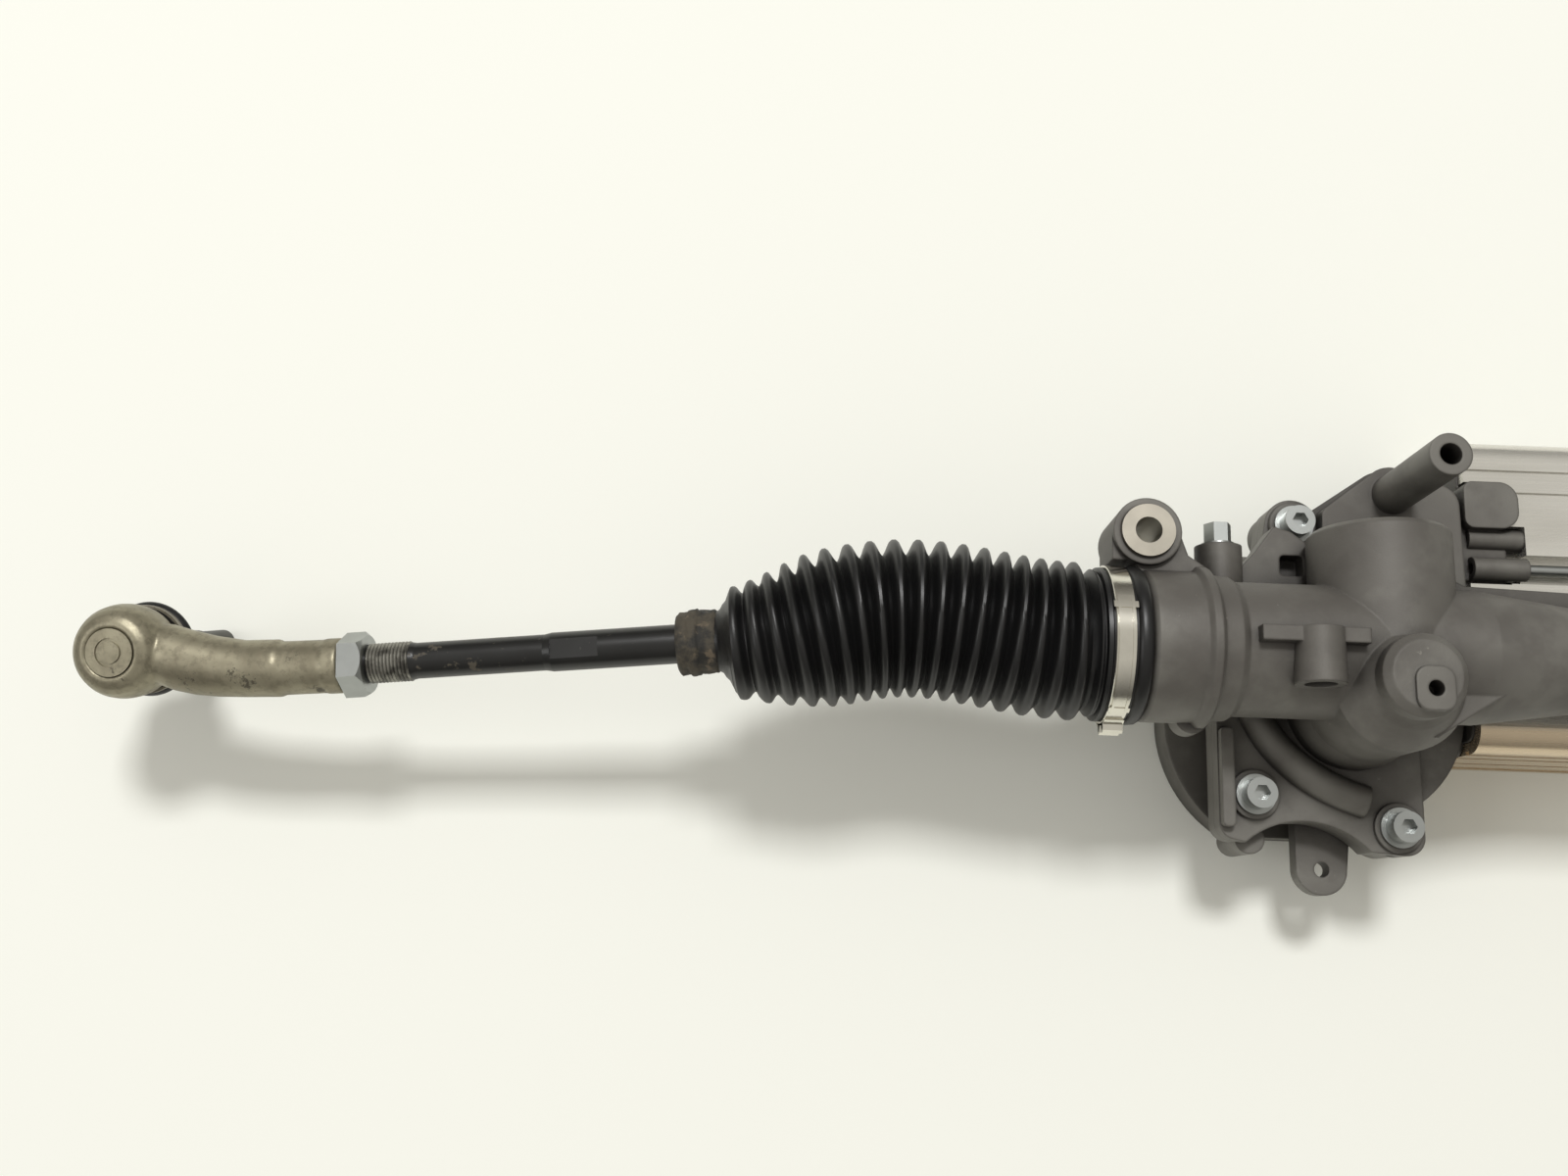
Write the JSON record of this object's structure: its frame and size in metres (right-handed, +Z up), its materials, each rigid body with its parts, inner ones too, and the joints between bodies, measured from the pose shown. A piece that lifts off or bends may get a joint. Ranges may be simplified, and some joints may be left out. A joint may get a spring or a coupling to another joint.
{
  "type": "electric power steering rack",
  "caption": "Electric power steering rack with cast housing, worm gear motor, bellows, tie rods and ball joints; the pinions, rack and joints move.",
  "frame": {"origin": "top of the steel sleeve in the left mounting eye, on its bore's axis", "axes": "+X along the rack to the right, +Z up along the eyes' bores, which the steering input shaft points along"},
  "size_m": [1.3202, 0.2015, 0.214],
  "materials": {
    "cast_housing": "as cast, dark grey, matt",
    "motor_extrusion": "extruded, satin",
    "zinc_steel": "zinc plated",
    "bright_steel": "ground or turned",
    "rod_paint": "black, worn",
    "forged_end": "forged, dull plated",
    "bellows_rubber": "satin black rubber",
    "clamp_steel": "stainless strip",
    "rusty_clip": "dirty, brown",
    "bearing_steel": "ground",
    "liner_plastic": "acetal",
    "wheel_plastic": "polyamide",
    "connector_plastic": "black",
    "board": "green laminate",
    "stator_iron": "laminated",
    "sensor_case": "black"
  },
  "bodies": {
    "housing": {"rack_housing": "cast_housing", "gearbox_housing": "cast_housing", "motor_housing": "motor_extrusion", "motor_end_cover": "motor_extrusion", "plug_sockets": "connector_plastic", "control_board": "board", "stator": "stator_iron", "motor_screws": "zinc_steel", "housing_screws": "zinc_steel", "screw_washers": "zinc_steel", "side_screw": "zinc_steel", "mounting_sleeves": "bright_steel", "rack_bushes": "liner_plastic", "drive_yoke": "motor_extrusion", "drive_yoke_spring": "bright_steel", "drive_yoke_plug": "zinc_steel", "input_yoke": "motor_extrusion", "input_yoke_spring": "bright_steel", "input_yoke_plug": "zinc_steel", "drive_bearings": "bearing_steel", "input_bearings": "bearing_steel", "worm_bearings": "bearing_steel", "torque_sensor": "sensor_case", "sensor_cover": "cast_housing", "input_seal": "bellows_rubber", "left_bellows": "bellows_rubber", "right_bellows": "bellows_rubber", "left_bellows_clamp": "clamp_steel", "right_bellows_clamp": "clamp_steel"},
    "motor_rotor": {"rotor": "bearing_steel", "shaft_coupling": "bearing_steel", "worm_shaft": "bright_steel"},
    "rack": {"rack_bar": "bright_steel", "left_inner_socket": "bright_steel", "right_inner_socket": "bright_steel"},
    "drive_gear": {"drive_pinion": "bright_steel", "worm_wheel": "wheel_plastic"},
    "steering_input": {"input_shaft": "bright_steel", "input_pinion": "bright_steel", "torsion_bar": "bright_steel"},
    "left_inner_gimbal": {"left_inner_liner": "liner_plastic"},
    "left_tie_rod_assembly": {"left_tie_rod": "rod_paint", "left_jam_nut": "zinc_steel", "left_tie_rod_end": "forged_end", "left_end_cap": "forged_end", "left_boot_ring": "bright_steel", "left_cuff_clip": "rusty_clip"},
    "left_outer_gimbal": {"left_outer_liner": "liner_plastic", "left_dust_boot": "bellows_rubber"},
    "left_stud": {"left_ball_stud": "bright_steel"},
    "right_inner_gimbal": {"right_inner_liner": "liner_plastic"},
    "right_tie_rod_assembly": {"right_tie_rod": "rod_paint", "right_jam_nut": "zinc_steel", "right_tie_rod_end": "forged_end", "right_end_cap": "forged_end", "right_boot_ring": "bright_steel", "right_cuff_clip": "rusty_clip"},
    "right_outer_gimbal": {"right_outer_liner": "liner_plastic", "right_dust_boot": "bellows_rubber"},
    "right_stud": {"right_ball_stud": "bright_steel"}
  },
  "joints": [
    {"name": "motor_spin", "type": "hinge", "parent": "housing", "child": "motor_rotor", "pos_m": [0.098, -0.00895, -0.076], "axis": [1, 0, 0], "range_deg": [-9030, 9030]},
    {"name": "rack_slide", "type": "slide", "parent": "housing", "child": "rack", "axis": [1, 0, 0], "range_m": [-0.06, 0.06]},
    {"name": "drive_pinion_spin", "type": "hinge", "parent": "housing", "child": "drive_gear", "pos_m": [0.098, -0.0607, -0.012], "axis": [0, 0, 1], "range_deg": [-430, 430]},
    {"name": "steering_input_spin", "type": "hinge", "parent": "housing", "child": "steering_input", "pos_m": [0.36, -0.0607, -0.012], "axis": [0, 0, 1], "range_deg": [-430, 430]},
    {"name": "left_tie_rod_steer", "type": "hinge", "parent": "rack", "child": "left_inner_gimbal", "pos_m": [-0.13, -0.046, -0.012], "axis": [0, 0, 1], "range_deg": [-15, 5], "deforming": ["left_bellows"]},
    {"name": "left_tie_rod_swing", "type": "hinge", "parent": "left_inner_gimbal", "child": "left_tie_rod_assembly", "pos_m": [-0.13, -0.046, -0.012], "axis": [0, 1, 0], "range_deg": [-15, 25]},
    {"name": "left_stud_spin", "type": "hinge", "parent": "left_tie_rod_assembly", "child": "left_outer_gimbal", "pos_m": [-0.4235, -0.05943, -0.03549], "axis": [-0.0671, -0.2315, 0.9705], "continuous": true},
    {"name": "left_stud_tilt", "type": "hinge", "parent": "left_outer_gimbal", "child": "left_stud", "pos_m": [-0.4235, -0.05943, -0.03549], "axis": [0.1032, -0.9691, -0.2241], "range_deg": [-26, 14], "deforming": ["left_dust_boot"]},
    {"name": "right_tie_rod_steer", "type": "hinge", "parent": "rack", "child": "right_inner_gimbal", "pos_m": [0.562, -0.046, -0.012], "axis": [0, 0, -1], "range_deg": [-15, 5], "deforming": ["right_bellows"]},
    {"name": "right_tie_rod_swing", "type": "hinge", "parent": "right_inner_gimbal", "child": "right_tie_rod_assembly", "pos_m": [0.562, -0.046, -0.012], "axis": [0, -1, 0], "range_deg": [-15, 25]},
    {"name": "right_stud_spin", "type": "hinge", "parent": "right_tie_rod_assembly", "child": "right_outer_gimbal", "pos_m": [0.8555, -0.05943, -0.03549], "axis": [-0.0671, 0.2315, -0.9705], "continuous": true},
    {"name": "right_stud_tilt", "type": "hinge", "parent": "right_outer_gimbal", "child": "right_stud", "pos_m": [0.8555, -0.05943, -0.03549], "axis": [0.1032, 0.9691, 0.2241], "range_deg": [-26, 14], "deforming": ["right_dust_boot"]}
  ],
  "couplings": [
    {"joint": "drive_pinion_spin", "follows": "rack_slide", "rad_per_m": -125},
    {"joint": "steering_input_spin", "follows": "rack_slide", "rad_per_m": -125},
    {"joint": "motor_spin", "follows": "rack_slide", "rad_per_m": -2625}
  ]
}
